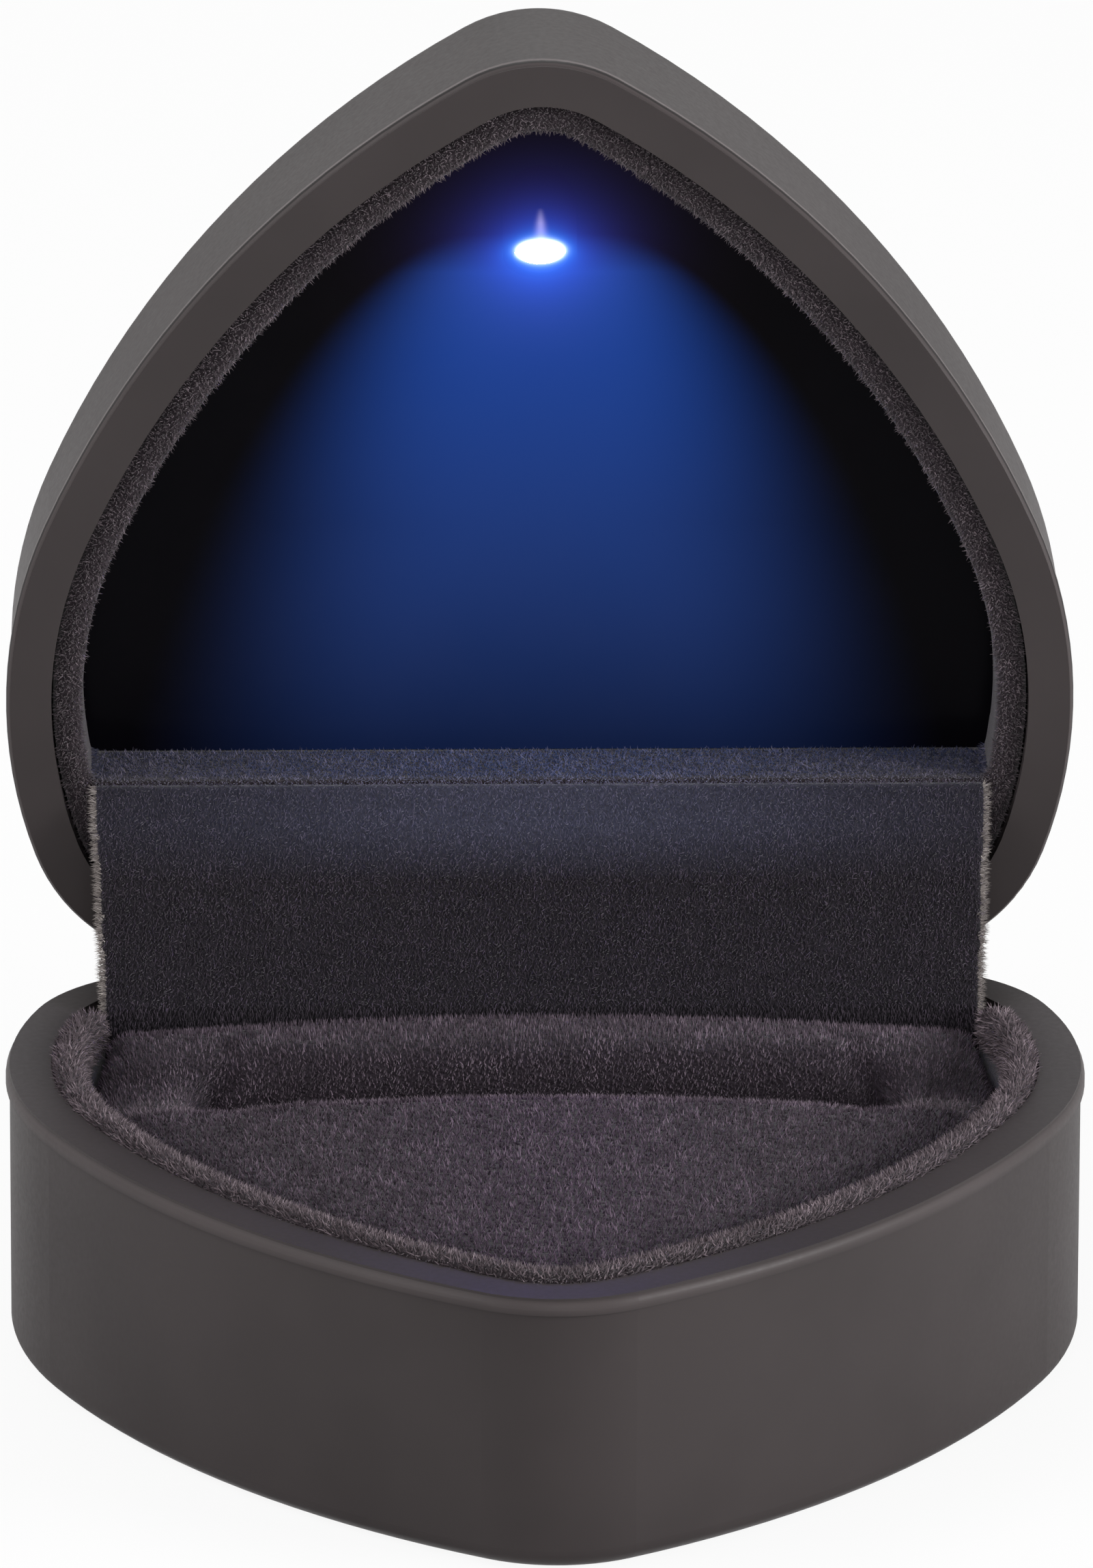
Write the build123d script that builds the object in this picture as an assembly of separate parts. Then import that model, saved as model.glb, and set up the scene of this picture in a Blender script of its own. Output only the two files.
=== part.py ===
from build123d import *
import os
from math import atan2, degrees, sqrt

# A ring display box: a tipped, round-cornered base and a matching lid on a sprung metal hinge,
# velvet inside, with a lamp behind the lid that a plunger switches on as the lid swings up.
# Millimetres. X to the right, Y to the back, Z up. The origin lies on the resting face, under
# the widest line of the outline. Lid pieces are drawn closed and then swung open.

# Outline, seen from above
HALF_WIDTH = 39.0
WAIST_R = 33.7
WAIST_SWEEP = 20.2
CORNER_R = 12.9
FLANK_R = 73.0
TIP_R = 11.2
TIP_CENTRE = 37.7

# Shells
BASE_HEIGHT = 20.4
LID_HEIGHT = 16.2
RIM_WIDTH = 3.3
BEAD_PROUD = 0.28
BEAD_HEIGHT = 1.2
RIM_ROUND = 0.8
EDGE_ROUND = 1.5
FLOOR = 2.6
ROOF = 2.2
RIB = 1.4
PAD_INSET = 4.0
PAD_THICKNESS = 0.8

# Clearances
FIT = 0.1
SOFT_GAP = 0.3
SEAT = 0.02

# Velvet-covered liners, the board and the cushions
LIP_WIDTH = 2.3
LIP_ROUND = 0.8
BASE_LIP_RISE = 0.4
LID_LIP_SET = 0.8
BOARD_TOP = 8.8
BOARD = 1.2
SLOT_FRONT = -3.0
SLOT_WIDTH = 4.3
SLOT_HALF = 25.8
FRONT_DROP = 1.0
REAR_RISE = 0.4
CUSHION_ROUND = 1.2
SLOT_SLOPE = 2.6

# Hinge cover flap
FLAP_Y = 10.1
FLAP = 1.0
FLAP_TAIL = 4.0
FLAP_FOOT_SET = 3.9
FLAP_HEAD_SET = 3.1

# Lid recess, panel and lamp
RECESS = 7.7
LEDGE_REACH = 14.1
LEDGE = 2.0
LID_LINER_END = 12.0
PANEL = 1.0
PANEL_SEAT = 1.0
POST_R = 1.8
POST_REAR_SET = 8.7
POST_MID_SET = 14.7
POST_MID = -20.0
POST_FRONT = -40.5
LAMP_Y = -33.1
LAMP_PROUD = 2.7
LAMP_TILT = 40.0
LENS_R = 1.95
LENS_DOME = 0.5
HOOD_WALL = 0.75
HOOD_BROW = 0.5
LAMP_BOARD = 0.8
LAMP_BOARD_W = 11.0
LAMP_BOARD_L = 8.0

# Coin cell and its holder
CELL_R = 10.0
CELL = 1.6
CELL_Y = -10.0
HOLDER_WALL = 1.3
HOLDER_HEIGHT = 3.6
HOLDER_FLOOR = 0.8
LUG_W = 5.0
LUG_L = 2.6
CONTACT = 0.3
CONTACT_W = 4.0
CONTACT_HEAD_R = 3.5

# Hinge
HINGE_OUT = 0.1
PIN_R = 0.8
PIN_FIT = 0.05
PIN_HEAD_R = 1.15
PIN_HEAD = 0.4
SHEET = 0.6
KNUCKLES = 5
KNUCKLE_LENGTH = 5.6
KNUCKLE_GAP = 0.2
LEAF_LENGTH = 9.6
SCREW_DROP = 6.8
SCREW_SPACING = 11.2
SCREW_R = 0.7
SCREW_LENGTH = 2.4
SCREW_HEAD_R = 1.4
SCREW_HEAD = 0.7
EAR_X = 6.2
EAR_DROP = 8.2
EAR_REACH = 2.3
EAR_R = 0.95
SPRING_WIRE_R = 0.4
SPRING_BEND_R = 5.0
SPRING_HOOK = 1.5
SPRING_HOOK_R = 0.7
OPEN_ANGLE = 90.0

# Switch
SWITCH_W = 6.0
SWITCH_D = 4.2
SWITCH_H = 5.5
SWITCH_SET = 1.6
SWITCH_SKIN = 0.8
PLUNGER_R = 0.8
PLUNGER_COLLAR_R = 1.3
PLUNGER_COLLAR = 0.8
PLUNGER_FIT = 0.06
PLUNGER_TRAVEL = 1.2
STRIKER_W = 4.0

# Lead wires
WIRE_R = 0.45
WIRE_BEND_R = 1.8
WIRE_LANE = 1.4

# Everything below follows from the sizes above.
TIP = Vector(0, -TIP_CENTRE)
WAIST = Vector(HALF_WIDTH - WAIST_R, 0)
CORNER = WAIST + Vector(WAIST_R - CORNER_R, 0).rotate(Axis.Z, WAIST_SWEEP)
BACK = CORNER.Y + CORNER_R
WALL_BACK = BACK - RIM_WIDTH
HINGE_Y = BACK + HINGE_OUT
HINGE_AXIS = Axis((0, HINGE_Y, BASE_HEIGHT), (1, 0, 0))
KNUCKLE_R = PIN_R + PIN_FIT + SHEET
HINGE_HALF = KNUCKLES * KNUCKLE_LENGTH / 2
LINER_INSET = RIM_WIDTH + FIT
CUSHION_INSET = RIM_WIDTH + LIP_WIDTH + SOFT_GAP
SLOT_BACK = SLOT_FRONT + SLOT_WIDTH
LEDGE_Y = HINGE_Y - LEDGE_REACH
FLAP_FOOT_HALF = HALF_WIDTH - RIM_WIDTH - FLAP_FOOT_SET
FLAP_HEAD_HALF = HALF_WIDTH - RIM_WIDTH - FLAP_HEAD_SET
SWITCH_X = CORNER.X - SWITCH_W / 2 - FIT
POST_REAR_X = HALF_WIDTH - RIM_WIDTH - POST_REAR_SET
POST_MID_X = HALF_WIDTH - RIM_WIDTH - POST_MID_SET
LIP_Z = BASE_HEIGHT + LID_LIP_SET
PANEL_Z = BASE_HEIGHT + RECESS
PANEL_BACK = PANEL_Z + PANEL
LID_TOP = BASE_HEIGHT + LID_HEIGHT
ROOF_Z = LID_TOP - ROOF
BIG = 4 * HALF_WIDTH


def flank_centre():
    """Centre of the flank arc, which runs smoothly into the waist arc and the tip arc."""
    to_waist = FLANK_R - WAIST_R
    to_tip = FLANK_R - TIP_R
    across = TIP - WAIST
    along = (across.length**2 + to_waist**2 - to_tip**2) / (2 * across.length)
    aside = sqrt(to_waist**2 - along**2)
    step = across.normalized()
    return WAIST + step * along + step.rotate(Axis.Z, -90) * aside


FLANK = flank_centre()
FLANK_START = degrees(atan2(TIP.Y - FLANK.Y, TIP.X - FLANK.X))
FLANK_END = degrees(atan2(WAIST.Y - FLANK.Y, WAIST.X - FLANK.X))


def outline(inset):
    """The box's outline, moved inwards by the inset."""
    side = [
        CenterArc(FLANK, FLANK_R - inset, FLANK_START, FLANK_END - FLANK_START),
        CenterArc(WAIST, WAIST_R - inset, FLANK_END, WAIST_SWEEP - FLANK_END),
        CenterArc(CORNER, CORNER_R - inset, WAIST_SWEEP, 90 - WAIST_SWEEP),
    ]
    front = CenterArc(TIP, TIP_R - inset, -180 - FLANK_START, 180 + 2 * FLANK_START)
    back = Line((CORNER.X, BACK - inset), (-CORNER.X, BACK - inset))
    return make_face([front, back] + side + [mirror(arc, Plane.YZ) for arc in side])


def slab(inset, bottom, top):
    """A plate of the box's outline between two heights."""
    return extrude(Pos(0, 0, bottom) * outline(inset), top - bottom)


def block(x0, x1, y0, y1, z0, z1):
    """A box between two corners."""
    return Pos((x0 + x1) / 2, (y0 + y1) / 2, (z0 + z1) / 2) * Box(x1 - x0, y1 - y0, z1 - z0)


def rod(radius, start, end):
    """A round bar between two points."""
    start, end = Vector(*start), Vector(*end)
    return extrude(Plane(start, z_dir=end - start) * Circle(radius), (end - start).length)


def wire(points, radius, bends):
    """A round wire along straight runs, with one bend radius for each corner."""
    path = FilletPolyline(*points, radius=bends)
    return sweep(Plane(path @ 0, z_dir=path % 0) * Circle(radius), path=path)


def opened(lid_piece):
    """A piece drawn on the closed lid, swung back to where the lid stands open."""
    return lid_piece.rotate(HINGE_AXIS, -OPEN_ANGLE)


def closed_mirror(base_piece):
    """A hinge piece of the base, mirrored over the parting plane to the closed lid."""
    return mirror(base_piece, Plane.XY.offset(BASE_HEIGHT))


def tub(height):
    """A plain tub with the rim up: rounded foot, wall, and a fine bead along the rim."""
    wall = slab(BEAD_PROUD, 0, height)
    wall = fillet(wall.faces().sort_by(Axis.Z)[0].edges(), EDGE_ROUND)
    bead = slab(0, height - BEAD_HEIGHT, height)
    bead = fillet(bead.faces().sort_by(Axis.Z)[-1].edges(), RIM_ROUND)
    return wall + bead


def hinge_notch():
    """The cut through a back wall that the knuckles lie in."""
    half = HINGE_HALF + PIN_HEAD + SOFT_GAP
    drop = KNUCKLE_R + PIN_FIT
    return block(-half, half, WALL_BACK - RIM_WIDTH, BACK + 1, BASE_HEIGHT - drop, BASE_HEIGHT + 1)


def screw_places():
    """The hinge screws on the base: along the leaf, at the inner face of the back wall."""
    z = BASE_HEIGHT - SCREW_DROP
    return [(x, WALL_BACK, z) for x in (-SCREW_SPACING, 0, SCREW_SPACING)]


def pilot_holes():
    """Blind holes for the hinge screws in a back wall."""
    depth = Vector(0, SCREW_LENGTH + FIT, 0)
    return Part() + [rod(SCREW_R + SEAT, at, Vector(*at) + depth) for at in screw_places()]


# Base shell: tub with board ribs, the hinge notch, screw holes and the post that the switch meets.
base_shell = tub(BASE_HEIGHT)
base_shell -= slab(RIM_WIDTH, FLOOR, BASE_HEIGHT)
base_shell -= slab(PAD_INSET, 0, PAD_THICKNESS)
RIB_TOP = BOARD_TOP - BOARD
long_rib = block(-RIB / 2, RIB / 2, -BIG, BIG, FLOOR, RIB_TOP)
cross_ribs = [block(-BIG, BIG, y - RIB / 2, y + RIB / 2, FLOOR, RIB_TOP) for y in (-24, -6, 12)]
base_shell += (long_rib + cross_ribs) & slab(RIM_WIDTH, FLOOR, RIB_TOP)
striker_top = BASE_HEIGHT - SOFT_GAP
SWITCH_MID = WALL_BACK - SWITCH_D / 2
striker = block(
    SWITCH_X - STRIKER_W / 2, SWITCH_X + STRIKER_W / 2,
    SWITCH_MID - PLUNGER_COLLAR_R, WALL_BACK, FLOOR, striker_top,
)
base_shell += striker
base_shell -= hinge_notch()
base_shell -= pilot_holes()

# Underside pad: a thin felt sheet, flush in its shallow recess.
underside_pad = slab(PAD_INSET + FIT, 0, PAD_THICKNESS)

# Cushion board: card on the ribs, notched round the striker post.
cushion_board = slab(LINER_INSET, RIB_TOP, BOARD_TOP)
cushion_board -= block(
    SWITCH_X - STRIKER_W / 2 - FIT, SWITCH_X + STRIKER_W / 2 + FIT,
    SWITCH_MID - PLUNGER_COLLAR_R - FIT, BACK, RIB_TOP, BOARD_TOP,
)

# Base liner: a velvet-covered band round the cushions, open at the back where the flap comes down.
liner_top = BASE_HEIGHT + BASE_LIP_RISE
base_liner = slab(LINER_INSET, BOARD_TOP, liner_top) - slab(RIM_WIDTH + LIP_WIDTH, 0, BIG)
base_liner = fillet(base_liner.faces().sort_by(Axis.Z)[-1].edges(), LIP_ROUND)
base_liner -= block(-BIG, BIG, FLAP_Y - SOFT_GAP, BIG, 0, BIG)

# Cushions: foam under velvet, in front of and behind the ring slot.
front_top = BASE_HEIGHT - FRONT_DROP
cushion_front = slab(CUSHION_INSET, BOARD_TOP, front_top)
cushion_front &= block(-BIG, BIG, -BIG, SLOT_FRONT, 0, BIG)
cushion_front = fillet(cushion_front.faces().sort_by(Axis.Z)[-1].edges(), CUSHION_ROUND)

rear_top = BASE_HEIGHT + REAR_RISE
ramp = Plane.YZ.offset(-BIG) * make_face(
    Polyline(
        (SLOT_BACK, BOARD_TOP),
        (FLAP_Y, BOARD_TOP),
        (FLAP_Y, rear_top),
        (SLOT_BACK + SLOT_SLOPE, rear_top),
        (SLOT_BACK, front_top - SLOT_SLOPE),
        close=True,
    )
)
cushion_rear = slab(CUSHION_INSET, BOARD_TOP, rear_top) & extrude(ramp, 2 * BIG)
ears = slab(CUSHION_INSET, BOARD_TOP, front_top)
ears &= block(-BIG, BIG, SLOT_FRONT + SOFT_GAP, SLOT_BACK + SLOT_SLOPE, 0, BIG)
ears -= block(-SLOT_HALF, SLOT_HALF, -BIG, SLOT_BACK + SLOT_SLOPE, 0, BIG)
cushion_rear += ears

# Flap: velvet board from the lid's ledge down to the back of the rear cushion.
flap_head = (HINGE_Y, BASE_HEIGHT + LEDGE_REACH)
flap_foot = (FLAP_Y, rear_top)
across_flap = FLAP / (flap_head[1] - flap_foot[1]) * sqrt(
    (flap_head[1] - flap_foot[1]) ** 2 + (flap_head[0] - flap_foot[0]) ** 2
)
profile = make_face(
    Polyline(
        flap_head,
        flap_foot,
        (FLAP_Y, rear_top - FLAP_TAIL),
        (FLAP_Y + FLAP, rear_top - FLAP_TAIL),
        (FLAP_Y + FLAP, rear_top - FLAP / 2),
        (flap_head[0] + across_flap - FLAP / 2, flap_head[1] - FLAP / 2),
        (flap_head[0] + LID_LIP_SET - SOFT_GAP, flap_head[1] - FLAP / 4),
        (flap_head[0] + LID_LIP_SET - SOFT_GAP, flap_head[1]),
        close=True,
    )
)
flap_sides = make_face(
    Polyline(
        (-FLAP_FOOT_HALF, 0),
        (FLAP_FOOT_HALF, 0),
        (FLAP_FOOT_HALF, flap_foot[1]),
        (FLAP_HEAD_HALF, flap_head[1]),
        (-FLAP_HEAD_HALF, flap_head[1]),
        (-FLAP_FOOT_HALF, flap_foot[1]),
        close=True,
    )
)
hinge_flap = extrude(Plane.YZ.offset(-BIG) * profile, 2 * BIG)
hinge_flap &= extrude(Plane.XZ.offset(-BIG) * flap_sides, 2 * BIG)

# Hinge: two stamped leaves on one pin, held shut or open by a pair of bow springs.


def hinge_leaf(own):
    """A leaf on the base side: plate on the wall, tab through the notch, its own knuckles."""
    face = WALL_BACK - SHEET
    bottom = BASE_HEIGHT - KNUCKLE_R
    plate = block(-HINGE_HALF, HINGE_HALF, face, WALL_BACK, BASE_HEIGHT - LEAF_LENGTH, bottom + SHEET)
    tab_end = HINGE_Y - KNUCKLE_R - KNUCKLE_GAP
    leaf = plate + block(-HINGE_HALF, HINGE_HALF, face, tab_end, bottom, bottom + SHEET)
    for index in own:
        x0 = -HINGE_HALF + index * KNUCKLE_LENGTH + KNUCKLE_GAP / 2
        x1 = x0 + KNUCKLE_LENGTH - KNUCKLE_GAP
        leaf += block(x0, x1, face, HINGE_Y, bottom, bottom + SHEET)
        leaf += rod(KNUCKLE_R, (x0, HINGE_Y, BASE_HEIGHT), (x1, HINGE_Y, BASE_HEIGHT))
    leaf -= rod(PIN_R + PIN_FIT, (-BIG, HINGE_Y, BASE_HEIGHT), (BIG, HINGE_Y, BASE_HEIGHT))
    for x, y, z in screw_places():
        leaf -= rod(SCREW_R + FIT, (x, y - 1, z), (x, y + 1, z))
    for x0 in (EAR_X, -EAR_X - SHEET):
        z = BASE_HEIGHT - EAR_DROP
        ear = block(x0, x0 + SHEET, face - EAR_REACH + EAR_R, face, z - EAR_R, z + EAR_R)
        ear += rod(EAR_R, (x0, face - EAR_REACH + EAR_R, z), (x0 + SHEET, face - EAR_REACH + EAR_R, z))
        eye = (face - EAR_REACH + EAR_R, z)
        leaf += ear - rod(SPRING_WIRE_R + PIN_FIT, (x0 - 1, *eye), (x0 + 1, *eye))
    return leaf


def hinge_screws():
    """Pan-head screws that hold a leaf to the base's back wall."""
    screws = []
    for x, y, z in screw_places():
        face = y - SHEET
        head = rod(SCREW_HEAD_R, (x, face, z), (x, face - SCREW_HEAD, z))
        head = fillet(head.faces().sort_by(Axis.Y)[0].edges(), SCREW_HEAD / 2)
        slot = block(x - SCREW_HEAD_R, x + SCREW_HEAD_R, face - SCREW_HEAD, face - SCREW_HEAD / 2,
                     z - SCREW_R / 4, z + SCREW_R / 4)
        screws.append(head - slot + rod(SCREW_R, (x, face, z), (x, y + SCREW_LENGTH, z)))
    return Compound(screws)


hinge_leaf_base = hinge_leaf(range(0, KNUCKLES, 2))
hinge_leaf_lid = opened(closed_mirror(hinge_leaf(range(1, KNUCKLES, 2))))
hinge_screws_base = hinge_screws()
hinge_screws_lid = opened(closed_mirror(hinge_screws()))

pin_end = HINGE_HALF + PIN_FIT
hinge_pin = rod(PIN_R, (-pin_end, HINGE_Y, BASE_HEIGHT), (pin_end, HINGE_Y, BASE_HEIGHT))
for side in (-1, 1):
    hinge_pin += rod(
        PIN_HEAD_R,
        (side * pin_end, HINGE_Y, BASE_HEIGHT),
        (side * (pin_end + PIN_HEAD), HINGE_Y, BASE_HEIGHT),
    )

ear_y = WALL_BACK - SHEET - EAR_REACH + EAR_R
ear_out = HINGE_Y - ear_y
springs = []
for side in (-1, 1):
    eye = side * (EAR_X + SHEET / 2)
    run = eye - side * SPRING_HOOK
    springs.append(
        wire(
            [
                (eye, ear_y, BASE_HEIGHT - EAR_DROP),
                (run, ear_y, BASE_HEIGHT - EAR_DROP),
                (run, ear_y, BASE_HEIGHT + ear_out),
                (run, HINGE_Y + EAR_DROP, BASE_HEIGHT + ear_out),
                (eye, HINGE_Y + EAR_DROP, BASE_HEIGHT + ear_out),
            ],
            SPRING_WIRE_R,
            (SPRING_HOOK_R, SPRING_BEND_R, SPRING_HOOK_R),
        )
    )
hinge_springs = Compound(springs)

# Lid shell: the same tub turned over, with posts behind the panel and a post above the switch.
lid_shell = Pos(0, 0, BASE_HEIGHT) * mirror(tub(LID_HEIGHT), Plane.XY)
lid_shell = Pos(0, 0, LID_HEIGHT) * lid_shell
lid_shell -= slab(RIM_WIDTH, BASE_HEIGHT, ROOF_Z)
post_rows = [(0, POST_FRONT), (POST_MID_X, POST_MID), (POST_REAR_X, LEDGE_Y - 2 * POST_R)]
for x, y in post_rows:
    for side in (-1, 1):
        lid_shell += rod(POST_R, (side * x, y, PANEL_BACK), (side * x, y, ROOF_Z))
switch_top = BASE_HEIGHT + SWITCH_SET + SWITCH_H
lid_shell += block(
    SWITCH_X - STRIKER_W / 2, SWITCH_X + STRIKER_W / 2,
    WALL_BACK - SWITCH_D + FIT, WALL_BACK, switch_top, ROOF_Z,
)
lid_shell -= closed_mirror(hinge_notch())
lid_shell -= closed_mirror(pilot_holes())

# Lid liner: a velvet-covered band round the recess, with the ledge that closes its lower end.
lid_liner = slab(LINER_INSET, LIP_Z, PANEL_Z) - slab(RIM_WIDTH + LIP_WIDTH, 0, BIG)
lid_liner = fillet(lid_liner.faces().sort_by(Axis.Z)[0].edges(), LIP_ROUND)
lid_liner -= block(-BIG, BIG, LID_LINER_END, BIG, 0, BIG)
ledge = slab(LINER_INSET + LIP_WIDTH / 2, LIP_Z, PANEL_BACK)
ledge &= block(-BIG, BIG, LEDGE_Y, LEDGE_Y + LEDGE, 0, BIG)
lid_liner += ledge

# Panel: the glossy back of the recess, behind the band and in front of the posts.
light_panel = slab(RIM_WIDTH + LIP_WIDTH - PANEL_SEAT, PANEL_Z, PANEL_BACK)
light_panel &= block(-BIG, BIG, -BIG, LEDGE_Y - FIT, 0, BIG)

# Lamp: a hooded lens that looks down the panel, on a small circuit board behind it.
lamp_face = Vector(0, LAMP_Y, PANEL_Z - LAMP_PROUD)
lamp_axis = Vector(0, 0, -1).rotate(Axis.X, LAMP_TILT)
lamp_back = lamp_face - lamp_axis * 4 * LAMP_PROUD
bore = rod(LENS_R + FIT / 2, lamp_face + lamp_axis * 5, lamp_back)
light_panel -= bore
led_hood = rod(LENS_R + HOOD_WALL, lamp_face + lamp_axis * HOOD_BROW, lamp_back) - bore
led_hood &= block(-BIG, BIG, -BIG, BIG, 0, PANEL_Z)
led_lens = rod(LENS_R, lamp_face, lamp_back)
led_lens &= block(-BIG, BIG, -BIG, BIG, 0, PANEL_BACK)
led_lens = fillet(led_lens.faces().sort_by(Axis.Z)[0].edges(), LENS_DOME)
lamp_board_y = LAMP_Y - LAMP_BOARD_L / 2
led_board = block(
    -LAMP_BOARD_W / 2, LAMP_BOARD_W / 2, lamp_board_y, lamp_board_y + LAMP_BOARD_L,
    PANEL_BACK, PANEL_BACK + LAMP_BOARD,
)

# Coin cell in its holder, fixed under the lid's roof.
holder_r = CELL_R + FIT + HOLDER_WALL
cell_holder = Pos(0, CELL_Y, ROOF_Z - HOLDER_HEIGHT / 2) * Cylinder(holder_r, HOLDER_HEIGHT)
lugs = block(
    -LUG_W / 2, LUG_W / 2, CELL_Y - holder_r - LUG_L, CELL_Y + holder_r + LUG_L,
    ROOF_Z - HOLDER_HEIGHT, ROOF_Z,
)
cell_holder += lugs
pocket = HOLDER_HEIGHT - HOLDER_FLOOR
cell_holder -= Pos(0, CELL_Y, ROOF_Z - HOLDER_FLOOR - pocket / 2) * Cylinder(CELL_R + FIT, pocket)
contact_back = ROOF_Z - HOLDER_FLOOR - CONTACT
cell_back = contact_back
coin_cell = Pos(0, CELL_Y, cell_back - CELL / 2) * Cylinder(CELL_R, CELL)
coin_cell = fillet(coin_cell.edges().group_by(Axis.Z)[0], CELL / 5)
back_contact = Pos(0, CELL_Y, cell_back + CONTACT / 2) * Cylinder(CONTACT_HEAD_R, CONTACT)
front_contact = block(
    -holder_r, holder_r, CELL_Y - CONTACT_W / 2, CELL_Y + CONTACT_W / 2,
    ROOF_Z - HOLDER_HEIGHT - CONTACT, ROOF_Z - HOLDER_HEIGHT,
)
spring_gap = cell_back - CELL - (ROOF_Z - HOLDER_HEIGHT)
front_contact += Pos(0, CELL_Y, ROOF_Z - HOLDER_HEIGHT + spring_gap / 2) * Cylinder(
    CONTACT_W / 2, spring_gap
)
cell_contacts = Compound([back_contact, front_contact])

# Switch body and plunger, on the lid's back wall beside the hinge.
switch_bottom = BASE_HEIGHT + SWITCH_SET
switch_body = block(
    SWITCH_X - SWITCH_W / 2, SWITCH_X + SWITCH_W / 2, WALL_BACK - SWITCH_D, WALL_BACK,
    switch_bottom, switch_top,
)
collar_bottom = switch_bottom + SWITCH_SKIN
collar_top = collar_bottom + PLUNGER_COLLAR
chamber_top = collar_top + PLUNGER_TRAVEL + SOFT_GAP
switch_body -= rod(
    PLUNGER_COLLAR_R + PLUNGER_FIT, (SWITCH_X, SWITCH_MID, collar_bottom - PLUNGER_FIT),
    (SWITCH_X, SWITCH_MID, chamber_top),
)
switch_body -= rod(
    PLUNGER_R + PLUNGER_FIT, (SWITCH_X, SWITCH_MID, 0), (SWITCH_X, SWITCH_MID, collar_bottom)
)
tip_z = BASE_HEIGHT - PLUNGER_TRAVEL
switch_plunger = rod(PLUNGER_R, (SWITCH_X, SWITCH_MID, tip_z), (SWITCH_X, SWITCH_MID, collar_bottom))
switch_plunger = fillet(switch_plunger.faces().sort_by(Axis.Z)[0].edges(), PLUNGER_R / 2)
switch_plunger += rod(
    PLUNGER_COLLAR_R, (SWITCH_X, SWITCH_MID, collar_bottom), (SWITCH_X, SWITCH_MID, collar_top)
)

# Lead wires, laid along the underside of the roof.
wire_z = ROOF_Z - WIRE_R
switch_side = SWITCH_X - SWITCH_W / 2
near_x = switch_side - WIRE_LANE - WIRE_BEND_R
lug_back = CELL_Y + holder_r + LUG_L
lug_front = CELL_Y - holder_r - LUG_L
lead_cell_switch = wire(
    [
        (0, lug_back, wire_z),
        (0, lug_back + 2 * WIRE_BEND_R, wire_z),
        (near_x, lug_back + 2 * WIRE_BEND_R, wire_z),
        (near_x, SWITCH_MID - WIRE_LANE / 2, wire_z),
        (near_x, SWITCH_MID - WIRE_LANE / 2, switch_top - SWITCH_SKIN),
        (switch_side, SWITCH_MID - WIRE_LANE / 2, switch_top - SWITCH_SKIN),
    ],
    WIRE_R,
    (WIRE_BEND_R * 0.9,) * 4,
)

lane_x = switch_side - WIRE_BEND_R
lamp_back_z = PANEL_BACK + LAMP_BOARD
lead_switch_lamp = wire(
    [
        (switch_side, SWITCH_MID + WIRE_LANE / 2, switch_top - SWITCH_SKIN),
        (lane_x, SWITCH_MID + WIRE_LANE / 2, switch_top - SWITCH_SKIN),
        (lane_x, SWITCH_MID + WIRE_LANE / 2, wire_z),
        (lane_x, lug_front - WIRE_LANE, wire_z),
        (LAMP_BOARD_W / 2 - WIRE_LANE, lug_front - WIRE_LANE, wire_z),
        (LAMP_BOARD_W / 2 - WIRE_LANE, LAMP_Y, wire_z),
        (LAMP_BOARD_W / 2 - WIRE_LANE, LAMP_Y, lamp_back_z),
    ],
    WIRE_R,
    (WIRE_BEND_R * 0.9,) * 5,
)
lead_cell_lamp = wire(
    [(0, lug_front, wire_z), (0, LAMP_Y, wire_z), (0, LAMP_Y, lamp_back_z)],
    WIRE_R,
    (WIRE_BEND_R * 0.9,),
)

nodes = {
    "base_shell": base_shell,
    "underside_pad": underside_pad,
    "cushion_board": cushion_board,
    "base_liner": base_liner,
    "cushion_front": cushion_front,
    "cushion_rear": cushion_rear,
    "hinge_flap": hinge_flap,
    "hinge_leaf_base": hinge_leaf_base,
    "hinge_screws_base": hinge_screws_base,
    "hinge_pin": hinge_pin,
    "hinge_springs": hinge_springs,
    "hinge_leaf_lid": hinge_leaf_lid,
    "hinge_screws_lid": hinge_screws_lid,
    "lid_shell": opened(lid_shell),
    "lid_liner": opened(lid_liner),
    "light_panel": opened(light_panel),
    "led_hood": opened(led_hood),
    "led_lens": opened(led_lens),
    "led_board": opened(led_board),
    "cell_holder": opened(cell_holder),
    "coin_cell": opened(coin_cell),
    "cell_contacts": opened(cell_contacts),
    "switch_body": opened(switch_body),
    "switch_plunger": opened(switch_plunger),
    "lead_cell_switch": opened(lead_cell_switch),
    "lead_switch_lamp": opened(lead_switch_lamp),
    "lead_cell_lamp": opened(lead_cell_lamp),
}

os.makedirs("parts", exist_ok=True)
for name, piece in nodes.items():
    export_step(piece, f"parts/{name}.step")
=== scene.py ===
import math

import bpy
from mathutils import Matrix, Vector


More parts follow.
